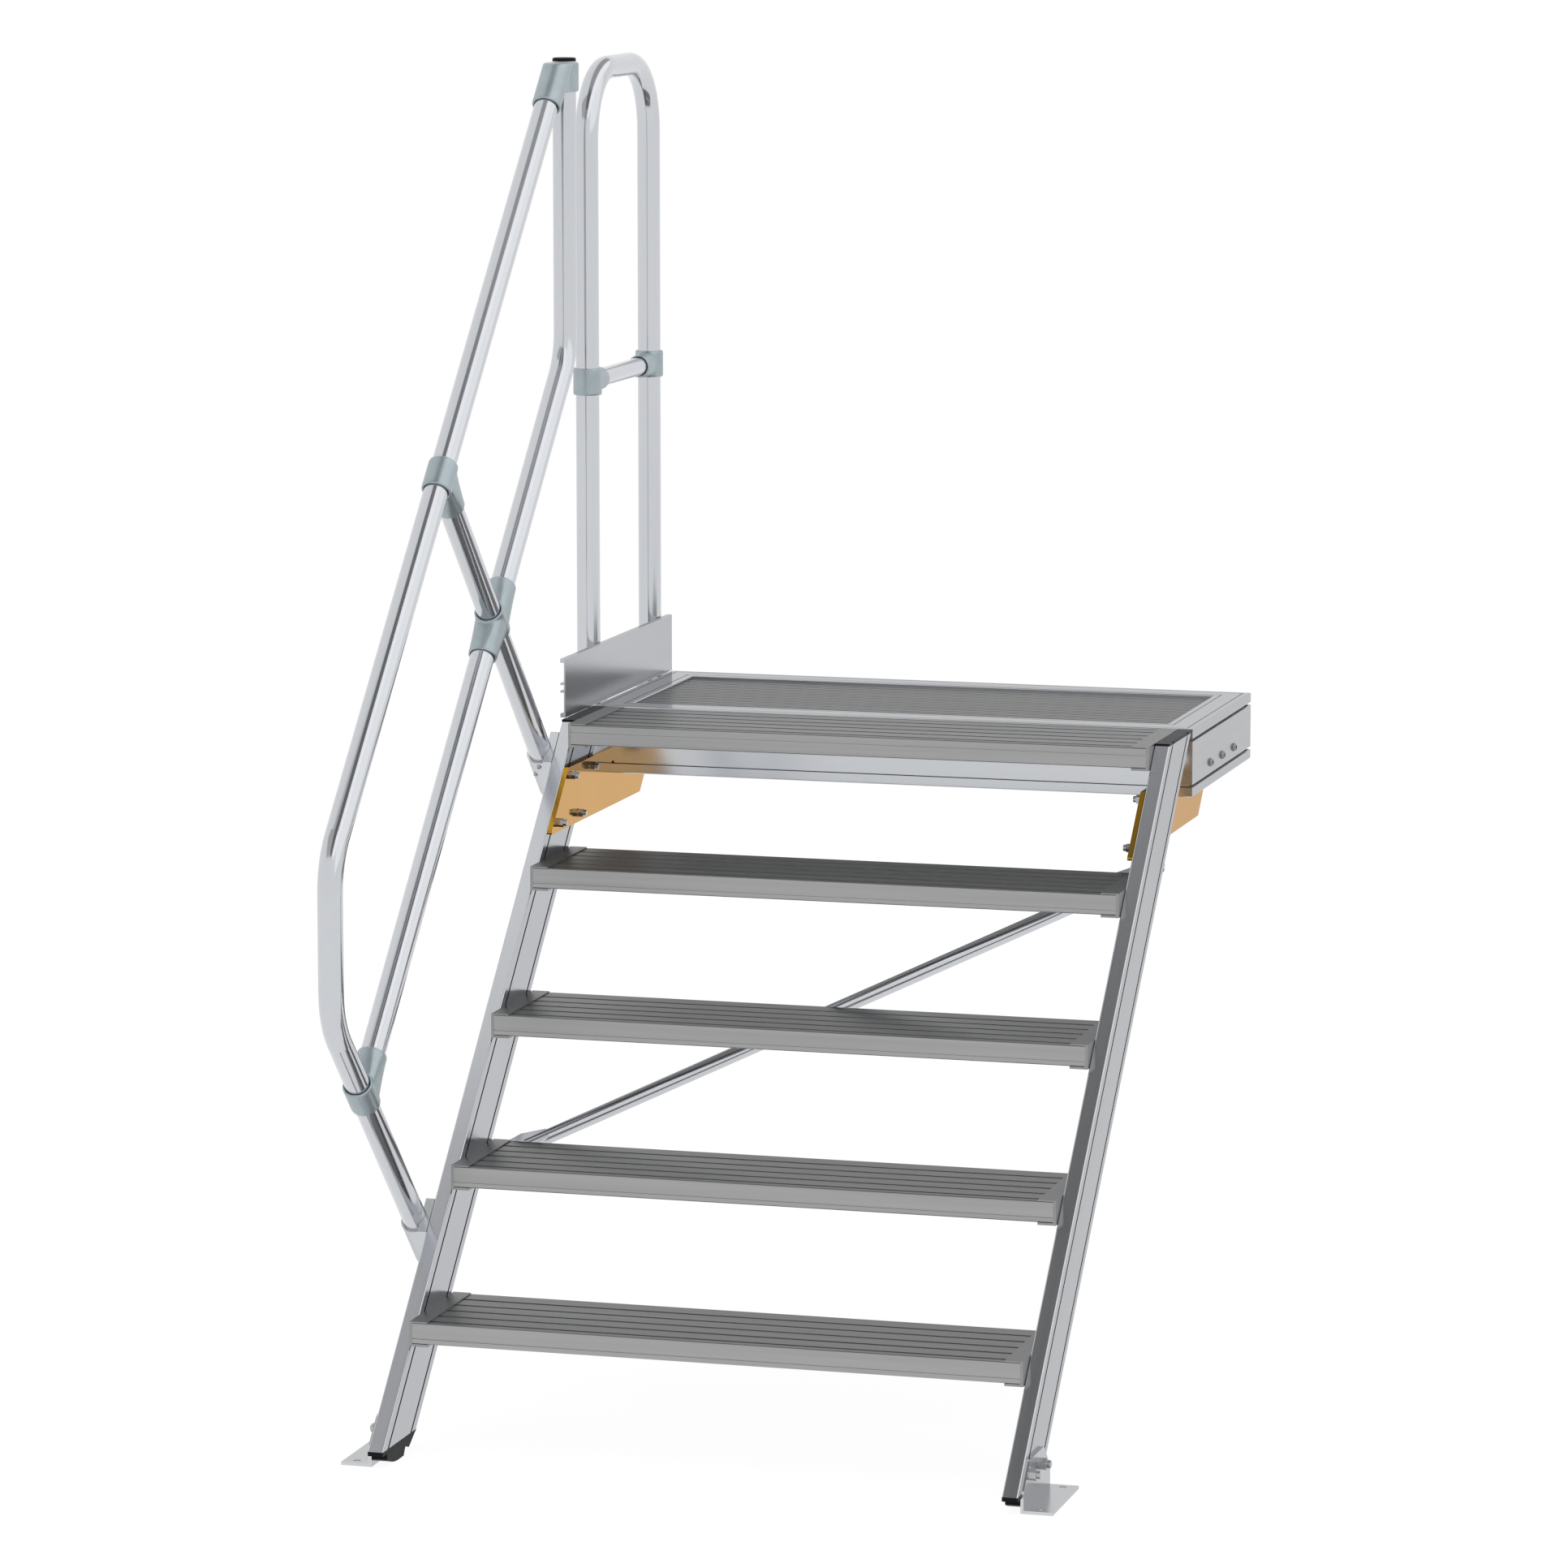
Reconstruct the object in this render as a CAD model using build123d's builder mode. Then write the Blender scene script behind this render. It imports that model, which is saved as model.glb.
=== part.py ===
from build123d import *
from math import atan2, cos, sin
import os

os.makedirs("parts", exist_ok=True)

# flight
step_count = 5
rise = 210
going = 210
clear_width = 1000

# treads, level with the top of their end caps
tread_depth = 219
tread_height = 34
tread_wall = 3
tread_web_count = 4
tread_skin = 5.5
tread_edge_radius = 2
groove_first = 17
groove_pitch = 40.5
groove_count = 5
groove_width = 8
groove_depth = 2.5
nose_line_drop = 25
top_line_drop = 12
nose_line_width = 2
nose_line_depth = 1.2

# tread end caps
cap_width = 30
cap_end = 5
cap_over = 2
cap_under = 4

# stringers and their T-slots
stringer_thick = 25
stringer_depth = 115
stringer_setback = 34
stringer_wall = 3
edge_radius = 2
slot_edge = 18.5
slot_mouth = 5
slot_lip = 2.5
slot_pocket = 10
slot_pocket_depth = 4
top_cap_thick = 4

# plastic feet
foot_height = 29
foot_rim = 7
foot_step = 21
foot_toe = 12
foot_toe_length = 55
foot_sole_length = 88
foot_sole_lean = 9
foot_sole_side = 13
foot_heel = 8
foot_heel_back = 37

# foot brackets
flange_thick = 5
flange_width = 51
flange_length = 172
flange_inset = 18
flange_height = 75
flange_shoulder = 34
flange_top_cut = 41
flange_corner = 10
flange_hole_radius = 5.5
flange_hole_spacing = 143
flange_hole_out = 29

# platform frame and deck
platform_gap = 1
platform_length = 467
beam_width = 55
beam_height = 115
beam_wall = 3
beam_line_inset = 12
beam_line_width = 2
beam_line_depth = 1.2
deck_drop = 5
deck_thick = 30
deck_wall = 3
deck_rib_pitch = 20
deck_rib_gap = 5
deck_rib_depth = 1.5
deck_web_pitch = 89

# joining plates between stringers and platform
plate_thick = 8
plate_lift = 44
plate_drop = 56
plate_length = 506
plate_corner = 4

# toe board
toe_height = 100
toe_depth = 9
toe_web = 2.5
toe_flange = 7
toe_rib = 3.5
toe_rib_low = 44
toe_rib_high = 57
toe_front_over = 156
toe_clear = 0.5

# tubes
tube_radius = 20
tube_wall = 2.5
tube_clear = 0.3

# hoop beside the platform
guard_height = 1100
hoop_front = 69
hoop_span = 361
hoop_bend = 118
hoop_bar_height = 550
hoop_bar_radius = 16

# handrail and knee rail, measured from the line of the nosings
hand_end_drop = 24
knee_lift = 310.4
leg_run = 221
strut_toe_gap = 35.1
hand_drop = 199.5
hand_bend = 120
knee_bend = 100
post_before_platform = 54
post_over_guard = 1
post_cap_thick = 6
hand_end_gap = 53

# cast clamps
clamp_wall = 4.5
clamp_length = 57
clamp_reach = 76
hoop_clamp_length = 47
hoop_clamp_reach = 66
socket_wall = 4
socket_mouth = 8
clamp_floor = 27
clamp_edge = 2
elbow_length = 50
elbow_drop = 1
elbow_socket = 68
elbow_end = 60
elbow_web = 38
elbow_edge = 3

# rail brackets
bracket_block = 15
bracket_half = 32
bracket_mouth = 16
bracket_seat = 84
bracket_under = 12
bracket_wall = 4
bracket_fillet = 7

# diagonal brace
brace_radius = 12.5
brace_low_run = 409
brace_high_run = 1068
brace_spacer_radius = 8
brace_clear = 1
lug_length = 78
lug_end = 9
lug_nose = 20
lug_thick = 5
lug_width = 38
lug_tip = 16
lug_taper = 40

slope = atan2(rise, going)
up_slope = Vector(0, cos(slope), sin(slope))
off_slope = Vector(0, -sin(slope), cos(slope))
along_x = Vector(1, 0, 0)
along_y = Vector(0, 1, 0)
along_z = Vector(0, 0, 1)

half_clear = clear_width / 2
half_outer = half_clear + stringer_thick
top_level = step_count * rise
stringer_back = stringer_setback + stringer_depth
platform_front = (step_count - 1) * going + tread_depth + platform_gap
platform_rear = platform_front + platform_length
platform_base = top_level - beam_height
rail_out = toe_depth + tube_clear + tube_radius
rail_x = -half_outer - rail_out
clamp_radius = tube_radius + clamp_wall


def line_at_height(height, lift):
    """Y of a line that runs parallel to the slope, at a height."""
    run = (height - rise - lift * cos(slope)) / sin(slope)
    return run * cos(slope) - lift * sin(slope)


def on_slope(run, lift):
    """Y and Z of a point from its run along the nosings and its lift off them."""
    return (run * cos(slope) - lift * sin(slope), rise + run * sin(slope) + lift * cos(slope))


def slope_at_y(y, lift):
    """Y and Z of the point at a Y on a line parallel to the slope."""
    return on_slope((y + lift * sin(slope)) / cos(slope), lift)


# the frame's origin is under the middle of the right foot bracket's floor flange
flange_start = line_at_height(foot_height, -stringer_setback) + flange_inset
datum = Vector(half_outer + flange_width / 2, flange_start + flange_length / 2, 0)


def place(x, y, z):
    return Vector(x, y, z) - datum


def side_plane(x):
    """Upright plane across the width: local X is the way in, local Y is height."""
    return Plane(origin=place(x, 0, 0), x_dir=(0, 1, 0), z_dir=(1, 0, 0))


def level_plane(z):
    return Plane(origin=place(0, 0, z), x_dir=(1, 0, 0), z_dir=(0, 0, 1))


def cross_plane(y):
    """Upright plane along the width, facing the way in: local X runs to the left."""
    return Plane(origin=place(0, y, 0), x_dir=(-1, 0, 0), z_dir=(0, 1, 0))


def slotted_side(edge_x, inward, edge_y, span):
    """Cuts two T-slots into one long side of the section that is being drawn."""
    mouth_x = edge_x + inward * slot_lip / 2
    pocket_x = edge_x + inward * (slot_lip + slot_pocket_depth / 2)
    low_y = edge_y + slot_edge
    high_y = edge_y + span - slot_edge
    with Locations((mouth_x, low_y), (mouth_x, high_y)):
        Rectangle(slot_lip, slot_mouth, mode=Mode.SUBTRACT)
    with Locations((pocket_x, low_y), (pocket_x, high_y)):
        Rectangle(slot_pocket_depth, slot_pocket, mode=Mode.SUBTRACT)


sides = (("left", -1), ("right", 1))

# stringers, drawn as a section across the slope and cut level at both ends
low_run = (rise + stringer_back) / sin(slope)
high_run = (top_level + stringer_back) / sin(slope)
core_depth = stringer_depth - 2 * slot_edge - slot_pocket - 2 * stringer_wall
for side, sign in sides:
    start_y, start_z = on_slope(-low_run, -stringer_setback)
    start = place(sign * (half_clear + stringer_thick / 2), start_y, start_z)
    section = Plane(origin=start, x_dir=along_x, z_dir=up_slope)
    with BuildPart() as stringer:
        with BuildSketch(section):
            with Locations((0, stringer_depth / 2)):
                RectangleRounded(stringer_thick, stringer_depth, edge_radius)
                Rectangle(stringer_thick - 2 * stringer_wall, core_depth, mode=Mode.SUBTRACT)
            slotted_side(-stringer_thick / 2, 1, 0, stringer_depth)
            slotted_side(stringer_thick / 2, -1, 0, stringer_depth)
        extrude(amount=low_run + high_run)
        split(bisect_by=level_plane(foot_height), keep=Keep.TOP)
        split(bisect_by=level_plane(top_level - top_cap_thick), keep=Keep.BOTTOM)
    stringer.part.label = f"{side}_stringer"
    export_step(stringer.part, f"parts/{side}_stringer.step")

# caps on the stringers' level tops, that reach back to the platform
cap_front_y = line_at_height(top_level - top_cap_thick, -stringer_setback)
for side, sign in sides:
    with BuildPart() as top_cap:
        with BuildSketch(level_plane(top_level - top_cap_thick)):
            with Locations((sign * (half_clear + stringer_thick / 2), (cap_front_y + platform_front) / 2)):
                Rectangle(stringer_thick, platform_front - cap_front_y)
            for slot_lift in (stringer_setback + slot_edge, stringer_back - slot_edge):
                notch_y = line_at_height(top_level - top_cap_thick / 2, -slot_lift)
                with Locations((sign * half_clear, notch_y), (sign * half_outer, notch_y)):
                    Rectangle(2 * slot_lip, slot_mouth / sin(slope), mode=Mode.SUBTRACT)
        extrude(amount=top_cap_thick)
    top_cap.part.label = f"{side}_top_cap"
    export_step(top_cap.part, f"parts/{side}_top_cap.step")

# plastic feet with a rounded sole
foot_front_y = line_at_height(foot_height, -stringer_setback)
foot_back_y = line_at_height(foot_height, -stringer_back)
sole_front_y = foot_front_y + foot_step
sole_flat_y = sole_front_y + foot_toe_length
sole_back_y = sole_front_y + foot_sole_length
sole_end_y = sole_back_y - foot_sole_lean
for side, sign in sides:
    near_x = min(sign * half_clear, sign * half_outer)
    with BuildPart() as foot:
        with BuildSketch(side_plane(near_x)):
            with BuildLine():
                Polyline(
                    (sole_flat_y, 0),
                    (sole_end_y, 0),
                    (sole_back_y, foot_sole_side),
                    (foot_back_y - foot_heel_back, foot_heel),
                    (foot_back_y, foot_height),
                    (foot_front_y, foot_height),
                    (foot_front_y, foot_height - foot_rim),
                    (sole_front_y, foot_height - foot_rim),
                    (sole_front_y, foot_toe),
                )
                TangentArc((sole_flat_y, 0), (sole_front_y, foot_toe), tangent=(-1, 0))
            make_face()
        extrude(amount=stringer_thick)
    foot.part.label = f"{side}_foot"
    export_step(foot.part, f"parts/{side}_foot.step")

# angle brackets that bolt the stringers to the floor
flange_end = flange_start + flange_length
for side, sign in sides:
    wall_x = min(sign * half_outer, sign * (half_outer + flange_thick))
    hole_x = sign * (half_outer + flange_hole_out)
    hole_mid_y = flange_start + flange_length / 2
    with BuildPart() as foot_bracket:
        with BuildSketch(side_plane(wall_x)):
            with BuildLine():
                FilletPolyline(
                    (flange_start, 0),
                    (flange_start, flange_shoulder),
                    (flange_start + flange_top_cut, flange_height),
                    (flange_end - flange_top_cut, flange_height),
                    (flange_end, flange_shoulder),
                    (flange_end, 0),
                    radius=flange_corner,
                )
                Line((flange_end, 0), (flange_start, 0))
            make_face()
        extrude(amount=flange_thick)
        with BuildSketch(level_plane(0)):
            with Locations((sign * (half_outer + flange_width / 2), hole_mid_y)):
                Rectangle(flange_width, flange_length)
            with Locations(
                (hole_x, hole_mid_y - flange_hole_spacing / 2),
                (hole_x, hole_mid_y + flange_hole_spacing / 2),
            ):
                Circle(flange_hole_radius, mode=Mode.SUBTRACT)
        extrude(amount=flange_thick)
    foot_bracket.part.label = f"{side}_foot_bracket"
    export_step(foot_bracket.part, f"parts/{side}_foot_bracket.step")

# treads: one hollow extrusion each, its rear wall leaning with the stair
tread_lean = tread_height * going / rise
cap_lean = going / rise
for step in range(1, step_count + 1):
    front_y = (step - 1) * going
    top_z = step * rise - cap_over
    base_z = top_z - tread_height
    hollow_z = base_z + tread_wall
    hollow_height = tread_height - tread_wall - tread_skin
    hollow_span = tread_depth - tread_lean - 2 * tread_wall
    chamber = (hollow_span - tread_web_count * tread_wall) / (tread_web_count + 1)
    with BuildPart() as tread:
        with BuildSketch(side_plane(-half_clear + cap_end)):
            with BuildLine():
                Polyline(
                    (front_y, top_z),
                    (front_y + tread_depth, top_z),
                    (front_y + tread_depth - tread_lean, base_z),
                    (front_y, base_z),
                    close=True,
                )
            make_face()
            fillet(vertices().group_by(Axis.X)[0], radius=tread_edge_radius)
            for index in range(tread_web_count + 1):
                chamber_y = front_y + tread_wall + index * (chamber + tread_wall) + chamber / 2
                with Locations((chamber_y, hollow_z + hollow_height / 2)):
                    Rectangle(chamber, hollow_height, mode=Mode.SUBTRACT)
            for index in range(groove_count):
                with Locations((front_y + groove_first + index * groove_pitch, top_z - groove_depth / 2)):
                    Rectangle(groove_width, groove_depth, mode=Mode.SUBTRACT)
            line_drop = top_line_drop if step == step_count else nose_line_drop
            with Locations((front_y + nose_line_depth / 2, top_z - line_drop)):
                Rectangle(nose_line_depth, nose_line_width, mode=Mode.SUBTRACT)
        extrude(amount=clear_width - 2 * cap_end)
    tread.part.label = f"tread_{step}"
    export_step(tread.part, f"parts/tread_{step}.step")

# end caps: channels round the treads' ends, closed against the stringers
for side, sign in sides:
    with BuildPart() as tread_caps:
        for step in range(1, step_count + 1):
            front_y = (step - 1) * going
            top_z = step * rise
            base_z = top_z - cap_over - tread_height - cap_under
            cap_rear = front_y + tread_depth
            inner_x = sign * (half_clear - cap_width)
            closed_x = sign * (half_clear - cap_end)
            with BuildSketch(side_plane(inner_x)):
                with BuildLine():
                    Polyline(
                        (front_y, top_z),
                        (cap_rear, top_z),
                        (cap_rear - (top_z - base_z) * cap_lean, base_z),
                        (front_y, base_z),
                        close=True,
                    )
                make_face()
            extrude(amount=sign * cap_width)
            with BuildSketch(side_plane(inner_x)):
                with BuildLine():
                    Polyline(
                        (front_y, top_z - cap_over),
                        (front_y + tread_depth, top_z - cap_over),
                        (front_y + tread_depth - tread_lean, top_z - cap_over - tread_height),
                        (front_y, top_z - cap_over - tread_height),
                        close=True,
                    )
                make_face()
            extrude(amount=sign * (cap_width - cap_end), mode=Mode.SUBTRACT)
    tread_caps.part.label = f"{side}_tread_caps"
    export_step(tread_caps.part, f"parts/{side}_tread_caps.step")

# platform frame: four mitred beams of one section, run round the frame
front_left = place(-half_outer, platform_front, platform_base)
front_right = place(half_outer, platform_front, platform_base)
rear_right = place(half_outer, platform_rear, platform_base)
rear_left = place(-half_outer, platform_rear, platform_base)
beam_runs = (
    ("platform_front_beam", front_left, along_y, along_x, 2 * half_outer),
    ("platform_right_beam", front_right, -along_x, along_y, platform_length),
    ("platform_rear_beam", rear_right, -along_y, -along_x, 2 * half_outer),
    ("platform_left_beam", rear_left, along_x, -along_y, platform_length),
)
for name, corner, inward, along, length in beam_runs:
    with BuildPart() as beam:
        with BuildSketch(Plane(origin=corner, x_dir=inward, z_dir=along)):
            with Locations((beam_width / 2, beam_height / 2)):
                RectangleRounded(beam_width, beam_height, edge_radius)
            slotted_side(0, 1, 0, beam_height)
            core_low = slot_edge + slot_pocket / 2 + beam_wall
            core_x = slot_lip + slot_pocket_depth + beam_wall
            with Locations(((core_x + beam_width - beam_wall) / 2, beam_height / 2)):
                Rectangle(beam_width - beam_wall - core_x, beam_height - 2 * core_low, mode=Mode.SUBTRACT)
            with Locations(
                (beam_line_inset, beam_height - beam_line_depth / 2),
                (beam_width - beam_line_inset, beam_height - beam_line_depth / 2),
            ):
                Rectangle(beam_line_width, beam_line_depth, mode=Mode.SUBTRACT)
        extrude(amount=length)
        split(bisect_by=Plane(origin=corner, z_dir=along - inward), keep=Keep.TOP)
        split(bisect_by=Plane(origin=corner + along * length, z_dir=-along - inward), keep=Keep.TOP)
    beam.part.label = name
    export_step(beam.part, f"parts/{name}.step")

# ribbed deck inside the frame
deck_span = platform_length - 2 * beam_width
deck_front = platform_front + beam_width
deck_top = top_level - deck_drop
rib_count = int(deck_span / deck_rib_pitch)
rib_first = deck_front + (deck_span - (rib_count - 1) * deck_rib_pitch) / 2
web_count = int(deck_span / deck_web_pitch)
deck_chamber = (deck_span - (web_count + 1) * deck_wall) / web_count
chamber_height = deck_thick - 2 * deck_wall - deck_rib_depth
with BuildPart() as platform_deck:
    with BuildSketch(side_plane(-half_outer + beam_width)):
        with Locations((deck_front + deck_span / 2, deck_top - deck_thick / 2)):
            Rectangle(deck_span, deck_thick)
        for index in range(rib_count):
            with Locations((rib_first + index * deck_rib_pitch, deck_top - deck_rib_depth / 2)):
                Rectangle(deck_rib_gap, deck_rib_depth, mode=Mode.SUBTRACT)
        for index in range(web_count):
            chamber_y = deck_front + deck_wall + index * (deck_chamber + deck_wall) + deck_chamber / 2
            with Locations((chamber_y, deck_top - deck_thick + deck_wall + chamber_height / 2)):
                Rectangle(deck_chamber, chamber_height, mode=Mode.SUBTRACT)
    extrude(amount=2 * (half_outer - beam_width))
platform_deck.part.label = "platform_deck"
export_step(platform_deck.part, "parts/platform_deck.step")

# painted plates inside the stringers, notched under the front beam
plate_base = platform_base - plate_drop
plate_top = platform_base + plate_lift
plate_base_front = line_at_height(plate_base, -stringer_setback)
for side, sign in sides:
    near_x = min(sign * half_clear, sign * (half_clear - plate_thick))
    with BuildPart() as joining_plate:
        with BuildSketch(side_plane(near_x)):
            with BuildLine():
                Polyline(
                    (plate_base_front, plate_base),
                    (line_at_height(plate_top, -stringer_setback), plate_top),
                    (platform_front, plate_top),
                    (platform_front, platform_base),
                    (plate_base_front + plate_length + plate_drop * going / rise, platform_base),
                    (plate_base_front + plate_length, plate_base),
                    close=True,
                )
            make_face()
            fillet(vertices().group_by(Axis.Y)[0], radius=plate_corner)
        extrude(amount=plate_thick)
    joining_plate.part.label = f"{side}_joining_plate"
    export_step(joining_plate.part, f"parts/{side}_joining_plate.step")

# toe board, a channel section outside the platform's left edge
toe_base = top_level + toe_clear
toe_front = platform_front - toe_front_over
with BuildPart() as toe_board:
    with BuildSketch(cross_plane(toe_front)):
        with Locations((half_outer + toe_web / 2, toe_base + toe_height / 2)):
            Rectangle(toe_web, toe_height)
        with Locations(
            (half_outer + toe_depth / 2, toe_base + toe_flange / 2),
            (half_outer + toe_depth / 2, toe_base + toe_height - toe_flange / 2),
        ):
            Rectangle(toe_depth, toe_flange)
        with Locations(
            (half_outer + toe_depth / 2, toe_base + toe_rib_low),
            (half_outer + toe_depth / 2, toe_base + toe_rib_high),
        ):
            Rectangle(toe_depth, toe_rib)
    extrude(amount=platform_rear - toe_front)
toe_board.part.label = "toe_board"
export_step(toe_board.part, "parts/toe_board.step")

# bent tubes, each drawn as the line of its axis in the plane of the railing
guard_top = top_level + guard_height
hoop_near = platform_front + hoop_front
hoop_far = hoop_near + hoop_span
hoop_foot = platform_base + bracket_under
hoop_crown = guard_top - tube_radius
post_y = platform_front - post_before_platform
post_top = guard_top + post_over_guard
hand_end = (post_y - hand_end_gap, post_top - hand_end_drop)
hand_lift = (hand_end[1] - rise) * cos(slope) - hand_end[0] * sin(slope)
hand_corner_lift = (leg_run * cos(slope) + hand_drop) / sin(slope)
leg_end_lift = -stringer_setback - bracket_mouth - bracket_seat
strut_run = (toe_front - strut_toe_gap - stringer_setback * sin(slope)) / cos(slope) - bracket_half
tube_runs = (
    (
        "hoop",
        ((hoop_near, hoop_foot), (hoop_near, hoop_crown), (hoop_far, hoop_crown), (hoop_far, hoop_foot)),
        hoop_bend,
    ),
    (
        "handrail",
        (
            hand_end,
            slope_at_y(-hand_drop, hand_lift),
            on_slope(leg_run, hand_corner_lift),
            on_slope(leg_run, leg_end_lift),
        ),
        hand_bend,
    ),
    (
        "knee_rail",
        (on_slope(strut_run + clamp_floor, knee_lift), slope_at_y(post_y, knee_lift), (post_y, post_top)),
        knee_bend,
    ),
)
for name, corners, bend in tube_runs:
    with BuildPart() as tube:
        with BuildLine(side_plane(rail_x)) as axis:
            FilletPolyline(*corners, radius=bend)
        with BuildSketch(Plane(origin=axis.line @ 0, z_dir=axis.line % 0)):
            Circle(tube_radius)
            Circle(tube_radius - tube_wall, mode=Mode.SUBTRACT)
        sweep()
    tube.part.label = name
    export_step(tube.part, f"parts/{name}.step")

# straight tubes
knee_bar_z = top_level + hoop_bar_height
straight_runs = (
    (
        "upper_strut",
        on_slope(strut_run, hand_lift - clamp_floor),
        on_slope(strut_run, knee_lift),
        tube_radius,
    ),
    (
        "lower_strut",
        on_slope(strut_run, knee_lift),
        on_slope(strut_run, leg_end_lift),
        tube_radius,
    ),
    (
        "lower_knee_rail",
        on_slope(leg_run + clamp_floor, knee_lift),
        on_slope(strut_run - clamp_floor, knee_lift),
        tube_radius,
    ),
    (
        "hoop_knee_bar",
        (hoop_near + clamp_floor, knee_bar_z),
        (hoop_far - clamp_floor, knee_bar_z),
        hoop_bar_radius,
    ),
)
for name, start, end, radius in straight_runs:
    first = place(rail_x, *start)
    last = place(rail_x, *end)
    with BuildPart() as tube:
        with BuildSketch(Plane(origin=first, z_dir=last - first)):
            Circle(radius)
            Circle(radius - tube_wall, mode=Mode.SUBTRACT)
        extrude(amount=(last - first).length)
    tube.part.label = name
    export_step(tube.part, f"parts/{name}.step")

# plug in the top of the upright
with BuildPart() as upright_cap:
    with BuildSketch(Plane(origin=place(rail_x, post_y, post_top))):
        Circle(tube_radius)
    extrude(amount=post_cap_thick)
    fillet(upright_cap.faces().sort_by(Axis.Z)[-1].edges(), radius=post_cap_thick / 2)
upright_cap.part.label = "upright_cap"
export_step(upright_cap.part, "parts/upright_cap.step")

# cast clamps: a sleeve round one tube, that narrows to a round socket for each tube that ends there
rail_size = (clamp_length, clamp_reach, tube_radius)
hoop_size = (hoop_clamp_length, hoop_clamp_reach, hoop_bar_radius)
tee_clamps = (
    ("handrail_clamp", on_slope(strut_run, hand_lift), up_slope, (-off_slope,), rail_size),
    ("knee_rail_clamp", on_slope(strut_run, knee_lift), off_slope, (up_slope, -up_slope), rail_size),
    ("lower_clamp", on_slope(leg_run, knee_lift), off_slope, (up_slope,), rail_size),
    ("hoop_front_clamp", (hoop_near, knee_bar_z), along_z, (along_y,), hoop_size),
    ("hoop_rear_clamp", (hoop_far, knee_bar_z), along_z, (-along_y,), hoop_size),
)
for name, centre, run, branches, (length, reach, branch_radius) in tee_clamps:
    middle = place(rail_x, *centre)
    sleeve = Plane(origin=middle - run * (length / 2), z_dir=run)
    socket_radius = branch_radius + socket_wall
    with BuildPart() as clamp:
        with BuildSketch(sleeve):
            Circle(clamp_radius)
        extrude(amount=length)
        fillet(clamp.edges().filter_by(GeomType.CIRCLE), radius=clamp_edge)
        for branch in branches:
            with BuildSketch(Plane(origin=middle, x_dir=run, z_dir=branch)):
                RectangleRounded(length - 2 * clamp_edge, 2 * socket_radius, socket_radius / 2)
            with BuildSketch(Plane(origin=middle + branch * (reach - socket_mouth), x_dir=run, z_dir=branch)):
                Circle(socket_radius)
            loft()
            with BuildSketch(Plane(origin=middle + branch * (reach - socket_mouth), x_dir=run, z_dir=branch)):
                Circle(socket_radius)
            extrude(amount=socket_mouth)
            mouth = clamp.faces().sort_by(Axis(middle, branch))[-1]
            fillet(mouth.edges(), radius=clamp_edge)
        with BuildSketch(sleeve):
            Circle(tube_radius + tube_clear)
        extrude(amount=length, mode=Mode.SUBTRACT)
        for branch in branches:
            with BuildSketch(Plane(origin=middle + branch * clamp_floor, z_dir=branch)):
                Circle(branch_radius + tube_clear)
            extrude(amount=reach - clamp_floor, mode=Mode.SUBTRACT)
    clamp.part.label = name
    export_step(clamp.part, f"parts/{name}.step")

# elbow that ties the handrail's end to the upright, cut level at its top
elbow_top = post_top - elbow_drop
elbow_base = place(rail_x, post_y, elbow_top - elbow_length)
hand_tip = place(rail_x, *hand_end)
with BuildPart() as rail_end:
    with BuildSketch(Plane(origin=hand_tip + up_slope * elbow_end, z_dir=-up_slope)):
        Circle(clamp_radius)
    extrude(amount=elbow_end + elbow_socket)
    split(bisect_by=level_plane(elbow_top), keep=Keep.BOTTOM)
    fillet(rail_end.faces().sort_by(Axis.Z)[-1].edges(), radius=elbow_edge)
    fillet(rail_end.faces().sort_by(Axis(hand_tip, up_slope))[0].edges(), radius=clamp_edge)
with BuildPart() as top_elbow:
    with BuildSketch(Plane(origin=elbow_base)):
        Circle(clamp_radius)
    extrude(amount=elbow_length)
    fillet(top_elbow.edges().filter_by(GeomType.CIRCLE).sort_by(Axis.Z)[-1], radius=elbow_edge)
    fillet(top_elbow.edges().filter_by(GeomType.CIRCLE).sort_by(Axis.Z)[0], radius=clamp_edge)
    add(rail_end.part)
    with BuildSketch(side_plane(rail_x - elbow_web / 2)):
        with Locations((post_y - hand_end_gap / 2, elbow_top - elbow_length / 2)):
            Rectangle(hand_end_gap, elbow_length)
    extrude(amount=elbow_web)
    with BuildSketch(Plane(origin=elbow_base)):
        Circle(tube_radius + tube_clear)
    extrude(amount=elbow_length, mode=Mode.SUBTRACT)
    with BuildSketch(Plane(origin=hand_tip, z_dir=-up_slope)):
        Circle(tube_radius + tube_clear)
    extrude(amount=elbow_socket, mode=Mode.SUBTRACT)
top_elbow.part.label = "top_elbow"
export_step(top_elbow.part, "parts/top_elbow.step")

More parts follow.
